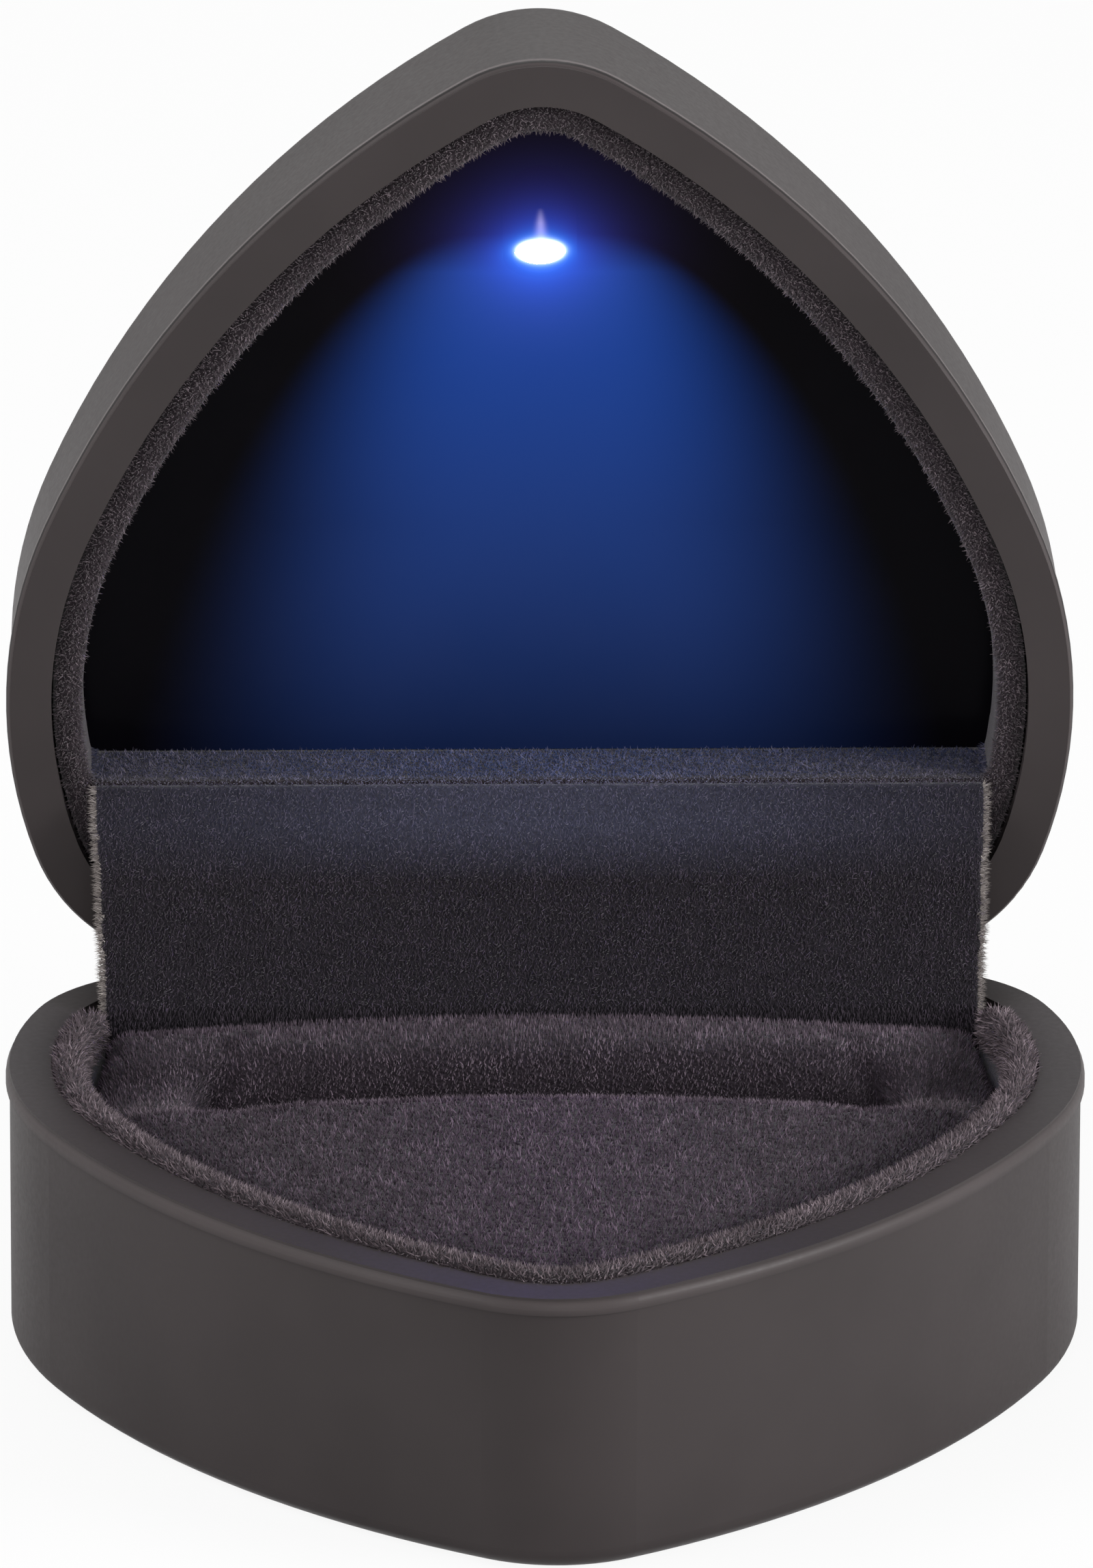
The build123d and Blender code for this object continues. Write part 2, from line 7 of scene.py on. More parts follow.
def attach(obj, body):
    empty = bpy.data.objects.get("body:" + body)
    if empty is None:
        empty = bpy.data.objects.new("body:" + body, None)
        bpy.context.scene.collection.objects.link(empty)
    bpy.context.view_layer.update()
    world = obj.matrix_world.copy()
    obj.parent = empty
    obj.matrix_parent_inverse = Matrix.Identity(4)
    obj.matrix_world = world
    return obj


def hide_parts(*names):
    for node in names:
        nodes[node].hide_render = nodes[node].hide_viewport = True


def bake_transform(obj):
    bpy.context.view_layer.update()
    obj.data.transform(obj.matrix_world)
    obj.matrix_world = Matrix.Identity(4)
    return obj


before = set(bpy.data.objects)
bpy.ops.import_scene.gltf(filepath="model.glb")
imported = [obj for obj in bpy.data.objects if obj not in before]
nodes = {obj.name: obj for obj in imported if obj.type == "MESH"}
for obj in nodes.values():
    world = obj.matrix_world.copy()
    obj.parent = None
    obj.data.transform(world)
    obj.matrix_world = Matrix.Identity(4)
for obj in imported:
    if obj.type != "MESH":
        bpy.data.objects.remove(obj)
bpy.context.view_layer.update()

# ---------------------------------------------------------------------------------------------
# Base shell: a tipped, round-cornered tub, moulded in one piece and sprayed with a charcoal
# soft-touch lacquer. The spray leaves a fine orange peel, and the rims carry a painted highlight.
# ---------------------------------------------------------------------------------------------
mm = 0.001
LACQUER_DARK = (0.0310, 0.0260, 0.0262, 1)
LACQUER_LIGHT = (0.0370, 0.0310, 0.0313, 1)
BASE_MOUTH = 20.4
LID_MOUTH = 20.18
EDGE_DEPTH = 1.6
FULL_TONE = 4.0
# Tones against depth: a quarter is the lacquer's own colour, more is painted highlight, less is painted
# shade.
BASE_RIM_HIGHLIGHT = ((0.0, 0.25), (0.12, 0.25), (0.35, 0.38), (0.80, 0.36), (1.25, 0.25))
LID_RIM_HIGHLIGHT_AND_SHADE = (
    (0.0, 0.25), (0.06, 0.30), (0.38, 0.40), (0.50, 0.10), (0.70, 0.10), (0.80, 0.75),
    (1.15, 0.75), (1.25, 0.25),
)


def finish(name, **constants):
    """A new material for one finish, with the constants of its shader set."""
    mat = bpy.data.materials.new(name)
    mat.use_nodes = True
    shader = mat.node_tree.nodes["Principled BSDF"]
    for key, value in constants.items():
        shader.inputs[key.replace("_", " ")].default_value = value
    return mat


def add(tree, kind, inputs=None, **settings):
    """Adds a node: settings are its properties, inputs are values or the outputs linked to it."""
    made = tree.nodes.new(kind)
    for key, value in settings.items():
        setattr(made, key, value)
    for key, value in (inputs or {}).items():
        if isinstance(value, bpy.types.NodeSocket):
            tree.links.new(value, made.inputs[key])
        else:
            made.inputs[key].default_value = value
    return made


def grain(tree, scale, stretch=(1, 1, 1), detail=2.0, roughness=0.5):
    """Noise that is fixed to the piece: scale is marks per millimetre, stretch pulls them out."""
    place = add(tree, "ShaderNodeTexCoord").outputs["Object"]
    pulled = add(tree, "ShaderNodeMapping", {"Vector": place, "Scale": [1 / s for s in stretch]})
    noise = add(
        tree, "ShaderNodeTexNoise",
        {"Vector": pulled.outputs[0], "Scale": scale / mm, "Detail": detail, "Roughness": roughness},
    )
    return noise.outputs["Fac"]


def ramp(tree, value, *stops):
    """A colour ramp through (position, colour) stops."""
    made = add(tree, "ShaderNodeValToRGB", {"Fac": value})
    points = made.color_ramp.elements
    while len(points) < len(stops):
        points.new(0.5)
    for point, (position, colour) in zip(points, stops):
        point.position = position
        point.color = colour
    return made.outputs["Color"]


def level(tree, value, low, high, to_low, to_high):
    """Maps a value from one range to another."""
    return add(
        tree, "ShaderNodeMapRange",
        {"Value": value, "From Min": low, "From Max": high, "To Min": to_low, "To Max": to_high},
    ).outputs["Result"]


def surface(mat, colour=None, roughness=None, bump=None, depth=0.02, strength=0.5):
    """Links a finish's colour, roughness and bump to its shader. depth is in millimetres."""
    tree = mat.node_tree
    shader = tree.nodes["Principled BSDF"]
    if colour:
        tree.links.new(colour, shader.inputs["Base Color"])
    if roughness:
        tree.links.new(roughness, shader.inputs["Roughness"])
    if bump:
        raised = add(
            tree, "ShaderNodeBump", {"Height": bump, "Strength": strength, "Distance": depth * mm}
        )
        tree.links.new(raised.outputs["Normal"], shader.inputs["Normal"])


def dress(names, mat):
    """Gives carried-over CAD pieces their finish."""
    for name in names:
        for held in nodes[name].material_slots:
            held.material = mat


def tint(tree, colour, amount):
    """A colour times an amount."""
    return add(
        tree, "ShaderNodeVectorMath", {0: colour, "Scale": amount}, operation="SCALE"
    ).outputs[0]


def painted_rim_light(tree, axis, mouth, towards, stops):
    """Painted highlight and shade along a rim, changing with the depth from its mouth, given in
    millimetres.
    """
    place = add(tree, "ShaderNodeTexCoord").outputs["Object"]
    parts = add(tree, "ShaderNodeSeparateXYZ", {0: place})
    bottom = mouth + towards * EDGE_DEPTH
    depth = level(tree, parts.outputs[axis], mouth * mm, bottom * mm, 0.0, 1.0)
    rim_light_and_shade = ramp(tree, depth, *[(at / EDGE_DEPTH, (t, t, t, 1)) for at, t in stops])
    return tint(tree, rim_light_and_shade, FULL_TONE)


lacquer = finish("soft_touch_lacquer", Specular_IOR_Level=0.13)
tree = lacquer.node_tree
clouds = grain(tree, 0.06, detail=3)
peel = grain(tree, 2.2, detail=4, roughness=0.6)
lacquer_with_rim_light = ramp(tree, clouds, (0.35, LACQUER_DARK), (0.65, LACQUER_LIGHT))
# Painted highlight along both rims, and a painted shade line in the lid's groove under its bead.
for axis, mouth, towards, stops in (("Z", BASE_MOUTH, -1, BASE_RIM_HIGHLIGHT), ("Y", LID_MOUTH, 1, LID_RIM_HIGHLIGHT_AND_SHADE)):
    rim_light_and_shade = painted_rim_light(tree, axis, mouth, towards, stops)
    lacquer_with_rim_light = add(
        tree, "ShaderNodeVectorMath", {0: lacquer_with_rim_light, 1: rim_light_and_shade}, operation="MULTIPLY"
    ).outputs[0]
surface(
    lacquer,
    colour=lacquer_with_rim_light,
    roughness=level(tree, peel, 0.3, 0.7, 0.40, 0.48),
    bump=peel,
    depth=0.006,
    strength=0.35,
)
dress(["base_shell"], lacquer)

# ---------------------------------------------------------------------------------------------
# Underside pad: a thin sheet of black wool felt, die-cut to the outline and glued into the
# shallow recess under the base, so that the box slides quietly on a glass counter.
# ---------------------------------------------------------------------------------------------


def chosen(piece):
    """Makes one piece the only selected and active one."""
    bpy.ops.object.select_all(action="DESELECT")
    bpy.context.view_layer.objects.active = piece
    piece.select_set(True)
    return piece


def worked(piece, kind, **settings):
    """Adds a modifier to a piece and applies it."""
    chosen(piece)
    step = piece.modifiers.new(kind.title(), kind)
    for key, value in settings.items():
        setattr(step, key, value)
    bpy.ops.object.modifier_apply(modifier=step.name)
    return piece


def soft_copy(name, sources, voxel):
    """An evenly meshed, closed copy of CAD pieces as one skin, ready to be shaped."""
    copies = []
    for source in sources:
        copy = bpy.data.objects.new(name, nodes[source].data.copy())
        bpy.context.collection.objects.link(copy)
        copies.append(copy)
    chosen(copies[0])
    for copy in copies:
        copy.select_set(True)
    if len(copies) > 1:
        bpy.ops.object.join()
    piece = bpy.context.view_layer.objects.active
    bpy.ops.object.mode_set(mode="EDIT")
    bpy.ops.mesh.select_all(action="SELECT")
    bpy.ops.mesh.remove_doubles(threshold=0.001 * mm)
    bpy.ops.mesh.normals_make_consistent(inside=False)
    bpy.ops.object.mode_set(mode="OBJECT")
    worked(piece, "REMESH", mode="VOXEL", voxel_size=voxel * mm, use_smooth_shade=True)
    piece.data.materials.clear()
    return piece


def shaped(piece, move):
    """Moves every point of a piece by a rule that takes and gives millimetres."""
    for point in piece.data.vertices:
        point.co = Vector(move(*(point.co / mm))) * mm
    piece.data.update()
    return piece


felt = finish("wool_felt", Roughness=1.0, Specular_IOR_Level=0.1, Sheen_Weight=0.3)
tree = felt.node_tree
fibres = grain(tree, 5, stretch=(1, 2.5, 1), detail=5, roughness=0.7)
surface(
    felt,
    colour=ramp(tree, fibres, (0.35, (0.008, 0.008, 0.009, 1)), (0.7, (0.030, 0.030, 0.033, 1))),
    bump=fibres,
    depth=0.15,
)
felt_sheet = soft_copy("felt_sheet", ["underside_pad"], 0.3)
worked(felt_sheet, "SMOOTH", iterations=3)
felt_sheet.data.materials.append(felt)
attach(felt_sheet, "base")
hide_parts("underside_pad")

# ---------------------------------------------------------------------------------------------
# Cushion board: black card, cut to lie on the base's ribs, with a notch for the switch's post.
# The cushions and the band are glued on it before it is pressed into the base.
# ---------------------------------------------------------------------------------------------
card = finish("black_card", Roughness=0.9, Specular_IOR_Level=0.2)
tree = card.node_tree
pulp = grain(tree, 3, stretch=(3, 1, 1), detail=6, roughness=0.7)
surface(
    card,
    colour=ramp(tree, pulp, (0.3, (0.016, 0.013, 0.016, 1)), (0.7, (0.034, 0.028, 0.033, 1))),
    bump=pulp,
    depth=0.05,
)
dress(["cushion_board"], card)

# ---------------------------------------------------------------------------------------------
# Base band: a strip of card wrapped in cut-pile velvet, its top rolled over, pressed in along
# the base's wall. Its ends stop beside the flap.
# ---------------------------------------------------------------------------------------------
BAND_BACKING = ((0.012, 0.009, 0.011, 1), (0.045, 0.034, 0.041, 1))
BAND_NAP = ((0.040, 0.030, 0.035, 1), (0.270, 0.215, 0.240, 1))
BAND_NAP_FROM = 18.2


def backing(name, dark, light):
    """The woven ground of a velvet, seen between the fibres of its pile."""
    mat = finish(name, Roughness=0.95, Specular_IOR_Level=0.1, Sheen_Weight=0.25, Sheen_Roughness=0.5)
    tree = mat.node_tree
    tufts = grain(tree, 5.5, detail=3, roughness=0.65)
    surface(mat, colour=ramp(tree, tufts, (0.38, dark), (0.72, light)), bump=tufts, depth=0.12)
    return mat


def maths(tree, kind, *values, clamp=False):
    """One sum, with values or outputs as its inputs."""
    return add(
        tree, "ShaderNodeMath", dict(enumerate(values)), operation=kind, use_clamp=clamp
    ).outputs[0]


def nap(name, dark, light):
    """Velvet fibres: each has its own shade, kept in the attribute that the pile is given."""
    mat = finish(name, Roughness=0.75, Specular_IOR_Level=0.2, Sheen_Weight=0.2, Sheen_Roughness=0.4)
    tree = mat.node_tree
    shade = add(tree, "ShaderNodeAttribute", attribute_name="shade").outputs["Fac"]
    patches = grain(tree, 0.35, detail=2)
    mixed = maths(tree, "MULTIPLY", shade, level(tree, patches, 0.3, 0.7, 0.8, 1.2))
    middle = [0.6 * a + 0.4 * b for a, b in zip(dark, light)]
    surface(mat, colour=ramp(tree, mixed, (0.0, dark), (0.75, middle), (1.0, light)))
    return mat


def pile(ground, name, mat, per_mm2, length, width, lean=(0, 0, 0), spread=0.45, seed=1, keep=None):
    """Stands fibres on a velvet ground: thin closed spikes, leaning as the nap was brushed.
    keep(place, normal) says on which faces they stand. Returns them as their own piece."""
    fuzz = bpy.data.objects.new(name, ground.data.copy())
    bpy.context.collection.objects.link(fuzz)
    fuzz.data.materials.clear()
    if keep:
        chosen(fuzz)
        bpy.ops.object.mode_set(mode="EDIT")
        bpy.ops.mesh.select_mode(type="FACE")
        bpy.ops.mesh.select_all(action="DESELECT")
        bpy.ops.object.mode_set(mode="OBJECT")
        for face in fuzz.data.polygons:
            face.select = not keep(face.center / mm, face.normal)
        bpy.ops.object.mode_set(mode="EDIT")
        bpy.ops.mesh.delete(type="FACE")
        bpy.ops.object.mode_set(mode="OBJECT")
    brush = bpy.data.node_groups.new(name + "_brush", "GeometryNodeTree")
    brush.interface.new_socket("Geometry", in_out="INPUT", socket_type="NodeSocketGeometry")
    brush.interface.new_socket("Geometry", in_out="OUTPUT", socket_type="NodeSocketGeometry")
    cloth = add(brush, "NodeGroupInput").outputs[0]
    roots = add(
        brush, "GeometryNodeDistributePointsOnFaces",
        {"Mesh": cloth, "Density": per_mm2 / mm**2, "Seed": seed},
    )
    stray = add(
        brush, "FunctionNodeRandomValue",
        {0: (-spread,) * 3, 1: (spread,) * 3, "Seed": seed + 1}, data_type="FLOAT_VECTOR",
    ).outputs[0]
    brushed = add(brush, "ShaderNodeVectorMath", {0: roots.outputs["Normal"], 1: lean})
    strewn = add(brush, "ShaderNodeVectorMath", {0: brushed.outputs[0], 1: stray})
    stand = add(brush, "FunctionNodeAlignRotationToVector", {"Vector": strewn.outputs[0]}, axis="Z")
    shade = add(brush, "FunctionNodeRandomValue", {2: 0.0, 3: 1.0, "Seed": seed + 2}, data_type="FLOAT")
    tinted = add(
        brush, "GeometryNodeStoreNamedAttribute",
        {"Geometry": roots.outputs["Points"], "Name": "shade", "Value": shade.outputs[1]},
        data_type="FLOAT", domain="POINT",
    )
    tall = add(brush, "FunctionNodeRandomValue", {2: 0.55, 3: 1.15, "Seed": seed + 3}, data_type="FLOAT")
    size = add(brush, "ShaderNodeCombineXYZ", {"X": 1.0, "Y": 1.0, "Z": tall.outputs[1]})
    fibre = add(
        brush, "GeometryNodeMeshCone",
        {"Vertices": 3, "Side Segments": 1, "Fill Segments": 1, "Radius Top": 0.0,
         "Radius Bottom": width / 2 * mm, "Depth": length * mm},
        fill_type="NGON",
    )
    planted = add(
        brush, "GeometryNodeInstanceOnPoints",
        {"Points": tinted.outputs[0], "Instance": fibre.outputs["Mesh"],
         "Rotation": stand.outputs[0], "Scale": size.outputs[0]},
    )
    real = add(brush, "GeometryNodeRealizeInstances", {"Geometry": planted.outputs[0]})
    clad = add(brush, "GeometryNodeSetMaterial", {"Geometry": real.outputs[0], "Material": mat})
    out = add(brush, "NodeGroupOutput")
    brush.links.new(clad.outputs[0], out.inputs[0])
    worked(fuzz, "NODES", node_group=brush)
    fuzz.data.materials.clear()
    fuzz.data.materials.append(mat)
    fuzz.data.polygons.foreach_set("material_index", [0] * len(fuzz.data.polygons))
    return fuzz


band_backing = backing("band_backing", *BAND_BACKING)
band_nap = nap("band_nap", *BAND_NAP)

base_band = soft_copy("base_band", ["base_liner"], 0.4)
worked(base_band, "SMOOTH", iterations=4)
base_band.data.materials.append(band_backing)
base_band_nap = pile(
    base_band, "base_band_nap", band_nap, per_mm2=30, length=0.6, width=0.13, spread=0.6, seed=11,
    keep=lambda place, normal: place.z > BAND_NAP_FROM and normal.z > -0.3,
)
for piece in (base_band, base_band_nap):
    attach(piece, "base")
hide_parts("base_liner")

# ---------------------------------------------------------------------------------------------
# Ring cushion: one pad of firm foam under stretched velvet, slit across for the ring. The front
# half is low, the rear half higher, and the velvet dips softly where the slit ends.
# ---------------------------------------------------------------------------------------------
CUSHION_BACKING = ((0.010, 0.007, 0.010, 1), (0.034, 0.025, 0.034, 1))
CUSHION_NAP = ((0.019, 0.013, 0.019, 1), (0.210, 0.158, 0.205, 1))
# The rear half's velvet is the front's cloth made lighter: painted light on the rear cushion.
REAR_NAP_LIT = ((0.024, 0.017, 0.024, 1), (0.225, 0.172, 0.218, 1))
# Painted light on the front cushion, glowing as emission: a highlight along the slit's front lip and the
# lamp's faint tint.
SLIT_LIP_HIGHLIGHT = ((0.120, 0.100, 0.110), 25.0, "Y", -4.9, -3.9)
LAMP_LIGHT_ON_CUSHION = ((0.003, 0.0, 0.006), 11.0, "Z", 0.0, 1.0)
SLIT_Y = -1.0
SLIT_HALF = 25.8
PLUMP = 0.35
FOAM_PRESSURE = 4
SOLVER_SCALE = 10
SETTLED = 20
GLUED_BELOW = 13
PILE_FROM = 14


def softened(piece, rounds, where):
    """Rounds off the part of a piece that lies where the rule says."""
    soft = piece.vertex_groups.new(name="soft")
    soft.add([p.index for p in piece.data.vertices if where(*(p.co / mm))], 1.0, "REPLACE")
    worked(piece, "SMOOTH", iterations=rounds, vertex_group="soft")
    piece.vertex_groups.clear()
    return piece


def plumped(piece, rise, held):
    """Lets foam press out against its cloth, each point kept within rise of where it was.
    The run is made at SOLVER_SCALE times the size, where the solver is steady, for SETTLED
    frames. Held points stay."""
    start = [point.co.copy() for point in piece.data.vertices]
    grip = piece.vertex_groups.new(name="glued")
    grip.add([i for i, co in enumerate(start) if held(*(co / mm))], 1.0, "REPLACE")
    for point in piece.data.vertices:
        point.co *= SOLVER_SCALE
    step = piece.modifiers.new("Cloth", "CLOTH")
    step.settings.use_pressure = True
    step.settings.uniform_pressure_force = FOAM_PRESSURE
    step.settings.effector_weights.gravity = 0
    step.settings.vertex_group_mass = "glued"
    step.point_cache.frame_start, step.point_cache.frame_end = 1, SETTLED
    for moment in range(1, SETTLED + 1):
        bpy.context.scene.frame_set(moment)
    chosen(piece)
    bpy.ops.object.modifier_apply(modifier=step.name)
    for point, before in zip(piece.data.vertices, start):
        moved = point.co / SOLVER_SCALE - before
        if moved.length > rise * mm:
            moved *= rise * mm / moved.length
        point.co = before + moved
    piece.vertex_groups.clear()
    bpy.context.scene.frame_set(1)
    return piece


def crown(x, y, z):
    """The pad's top falls away to the sides, the front half less than the rear one."""
    share = min(max((z - 12) / 6, 0), 1)
    rear = min(max((y - SLIT_Y) / 3, 0), 1)
    fall = (1 - rear) * 1.15 * (x / 26) ** 2 + rear * 1.5 * (x / 31) ** 2
    return x, y, z - share * (fall + 0.15)


def plus(tree, *colours):
    """The sum of several colours."""
    total = colours[0]
    for colour in colours[1:]:
        total = add(tree, "ShaderNodeVectorMath", {0: total, 1: colour}).outputs[0]
    return total


def fading(tree, distance, reach):
    """Falls off from one as the distance grows, by a factor of e in each reach."""
    return maths(tree, "EXPONENT", maths(tree, "DIVIDE", distance, -reach))


def square(tree, value, scale):
    """The square of a value over its scale."""
    return maths(tree, "POWER", maths(tree, "ABSOLUTE", maths(tree, "DIVIDE", value, scale)), 2.0)


def catching(mat, *patches, spots=None):
    """Painted light that a velvet catches, glowing as emission fixed to its place: each patch has a
    colour, a reach to each side of the middle line, and an axis on which it grows from one place to
    another."""
    tree = mat.node_tree
    place = add(tree, "ShaderNodeTexCoord").outputs["Object"]
    parts = add(tree, "ShaderNodeSeparateXYZ", {0: place})
    spots = spots or add(tree, "ShaderNodeAttribute", attribute_name="shade").outputs["Fac"]
    uneven = level(tree, spots, 0.0, 1.0, 0.3, 1.7)
    caught = []
    for colour, reach, axis, low, high in patches:
        aside = fading(tree, square(tree, parts.outputs["X"], reach * mm), 1.0)
        grown = level(tree, parts.outputs[axis], low * mm, high * mm, 0.0, 1.0)
        caught.append(tint(tree, colour, maths(tree, "MULTIPLY", aside, grown)))
    shader = tree.nodes["Principled BSDF"]
    shader.inputs["Emission Strength"].default_value = 1.0
    tree.links.new(tint(tree, plus(tree, *caught), uneven), shader.inputs["Emission Color"])


cushion_backing = backing("cushion_backing", *CUSHION_BACKING)
front_nap = nap("front_nap", *CUSHION_NAP)
rear_nap_lit = nap("rear_nap_lit", *REAR_NAP_LIT)
# The front cushion's fibres glow with this painted light.
catching(front_nap, SLIT_LIP_HIGHLIGHT, LAMP_LIGHT_ON_CUSHION)

ring_cushion = soft_copy("ring_cushion", ["cushion_front", "cushion_rear"], 0.55)
shaped(ring_cushion, crown)
worked(ring_cushion, "SMOOTH", iterations=8)
softened(ring_cushion, 26, lambda x, y, z: z > PILE_FROM and SLIT_Y < y < 8)
softened(ring_cushion, 60, lambda x, y, z: z > GLUED_BELOW and abs(x) > SLIT_HALF - 4 and -6 < y < 8)
plumped(ring_cushion, PLUMP, lambda x, y, z: z < GLUED_BELOW)
ring_cushion.data.materials.append(cushion_backing)
cushion_pile = []
for half, side, lie, fibres, count, width, seed in (
        ("front", -1, (0, -0.25, 0), front_nap, 20, 0.125, 21),
        ("rear", 1, (0, -0.1, 0.7), rear_nap_lit, 24, 0.115, 31)):
    cushion_pile.append(pile(
        ring_cushion, "cushion_nap_" + half, fibres, per_mm2=count, length=0.5, width=width,
        lean=lie, seed=seed,
        keep=lambda place, normal: (place.y - SLIT_Y) * side > 0 and place.z > PILE_FROM
        and normal.z > -0.2,
    ))
for piece in [ring_cushion] + cushion_pile:
    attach(piece, "base")
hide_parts("cushion_front", "cushion_rear")

# ---------------------------------------------------------------------------------------------
# Hinge: two leaves stamped and rolled from nickel-plated steel on one headed pin, screwed to
# the back walls. The brushing runs along the strip that the leaves were cut from.
# ---------------------------------------------------------------------------------------------


def plated(name, dark, light, roughness, along=(6, 1, 1)):
    """Bright metal with fine lines along its working direction and a few dull patches."""
    mat = finish(name, Metallic=1.0)
    tree = mat.node_tree
    lines = grain(tree, 9, stretch=along, detail=3)
    dull = grain(tree, 0.5, detail=3)
    surface(
        mat,
        colour=ramp(tree, dull, (0.35, dark), (0.65, light)),
        roughness=level(tree, lines, 0.3, 0.7, roughness, roughness + 0.15),
        bump=lines,
        depth=0.004,
        strength=0.3,
    )
    return mat


dress(["hinge_leaf_base", "hinge_leaf_lid"],
      plated("hinge_nickel", (0.46, 0.45, 0.43, 1), (0.58, 0.57, 0.55, 1), 0.24))
dress(["hinge_screws_base", "hinge_screws_lid", "hinge_pin"],
      plated("screw_nickel", (0.50, 0.49, 0.47, 1), (0.62, 0.61, 0.59, 1), 0.18, (1, 1, 6)))

spring_wire = plated("spring_wire", (0.30, 0.30, 0.31, 1), (0.42, 0.42, 0.43, 1), 0.30, (1, 4, 4))
bow_springs = bpy.data.objects.new("bow_springs", nodes["hinge_springs"].data.copy())
bpy.context.collection.objects.link(bow_springs)
chosen(bow_springs)
bpy.ops.object.mode_set(mode="EDIT")
bpy.ops.mesh.select_all(action="SELECT")
bpy.ops.mesh.remove_doubles(threshold=0.001 * mm)
bpy.ops.mesh.normals_make_consistent(inside=False)
bpy.ops.object.mode_set(mode="OBJECT")
bpy.ops.object.shade_smooth_by_angle(angle=math.radians(40))
bow_springs.data.materials.clear()
bow_springs.data.materials.append(spring_wire)
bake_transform(bow_springs)
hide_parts("hinge_springs")

# ---------------------------------------------------------------------------------------------
# Lid shell: the second tub, moulded in one piece and lacquered with the base, so that the two
# match. It is screwed to the hinge's other leaf, and its rim meets the base's when shut.
# ---------------------------------------------------------------------------------------------
dress(["lid_shell"], lacquer)

# ---------------------------------------------------------------------------------------------
# Lamp parts behind the panel: a small circuit board, a coin cell in its moulded holder with
# sprung brass contacts, a snap switch with a nylon plunger, and three insulated leads.
# ---------------------------------------------------------------------------------------------


def moulded(name, dark, light, roughness, specular=0.5):
    """Injection-moulded plastic: even colour with slight flow marks and a fine spark texture."""
    mat = finish(name, Specular_IOR_Level=specular)
    tree = mat.node_tree
    flow = grain(tree, 0.25, stretch=(1, 3, 1), detail=2)
    spark = grain(tree, 6, detail=4)
    surface(
        mat,
        colour=ramp(tree, flow, (0.35, dark), (0.65, light)),
        roughness=level(tree, spark, 0.3, 0.7, roughness, roughness + 0.12),
        bump=spark,
        depth=0.008,
        strength=0.4,
    )
    return mat


black_trim = moulded("black_trim", (0.006, 0.006, 0.007, 1), (0.011, 0.011, 0.012, 1), 0.4)
dress(["cell_holder", "switch_body"], black_trim)
dress(["switch_plunger"], moulded("nylon", (0.60, 0.59, 0.54, 1), (0.68, 0.67, 0.63, 1), 0.35))
dress(["lead_cell_switch", "lead_switch_lamp"],
      moulded("red_insulation", (0.30, 0.010, 0.008, 1), (0.38, 0.016, 0.012, 1), 0.35))
dress(["lead_cell_lamp"],
      moulded("black_insulation", (0.010, 0.010, 0.010, 1), (0.016, 0.016, 0.016, 1), 0.35))
dress(["coin_cell"], plated("cell_can", (0.62, 0.62, 0.62, 1), (0.72, 0.72, 0.72, 1), 0.16))
dress(["cell_contacts"],
      plated("spring_brass", (0.55, 0.38, 0.14, 1), (0.70, 0.52, 0.22, 1), 0.22, (5, 1, 1)))

solder_mask = finish("solder_mask", Roughness=0.25)
tree = solder_mask.node_tree
weave = grain(tree, 4, stretch=(3, 1, 1), detail=2)
surface(
    solder_mask,
    colour=ramp(tree, weave, (0.3, (0.004, 0.030, 0.012, 1)), (0.7, (0.008, 0.060, 0.022, 1))),
    bump=weave,
    depth=0.01,
)
dress(["led_board"], solder_mask)

# ---------------------------------------------------------------------------------------------
# Panel, hood and lens: a polished black acrylic back to the lid's recess, with a hooded lens
# near its tip. The lens looks down the panel. Its blue wash down the panel, a halo round the lens
# and a flare are painted light, glowing from the panel and the hood.
# ---------------------------------------------------------------------------------------------
PANEL_FACE = 27.88
HALO_SLANT = 0.346
LAMP_HEIGHT = 72.8
WASH_MIDDLE = 30.0
WASH_HALF_WIDTH = 21.5
WASH_HALF_HEIGHT = 44.2
GLARE_HALF_WIDTH = 1.93
GLARE_HALF_HEIGHT = 0.96
WASH_BLUE = ((0.090, 0.240, 1.0, 1), (0.030, 0.175, 1.0, 1))


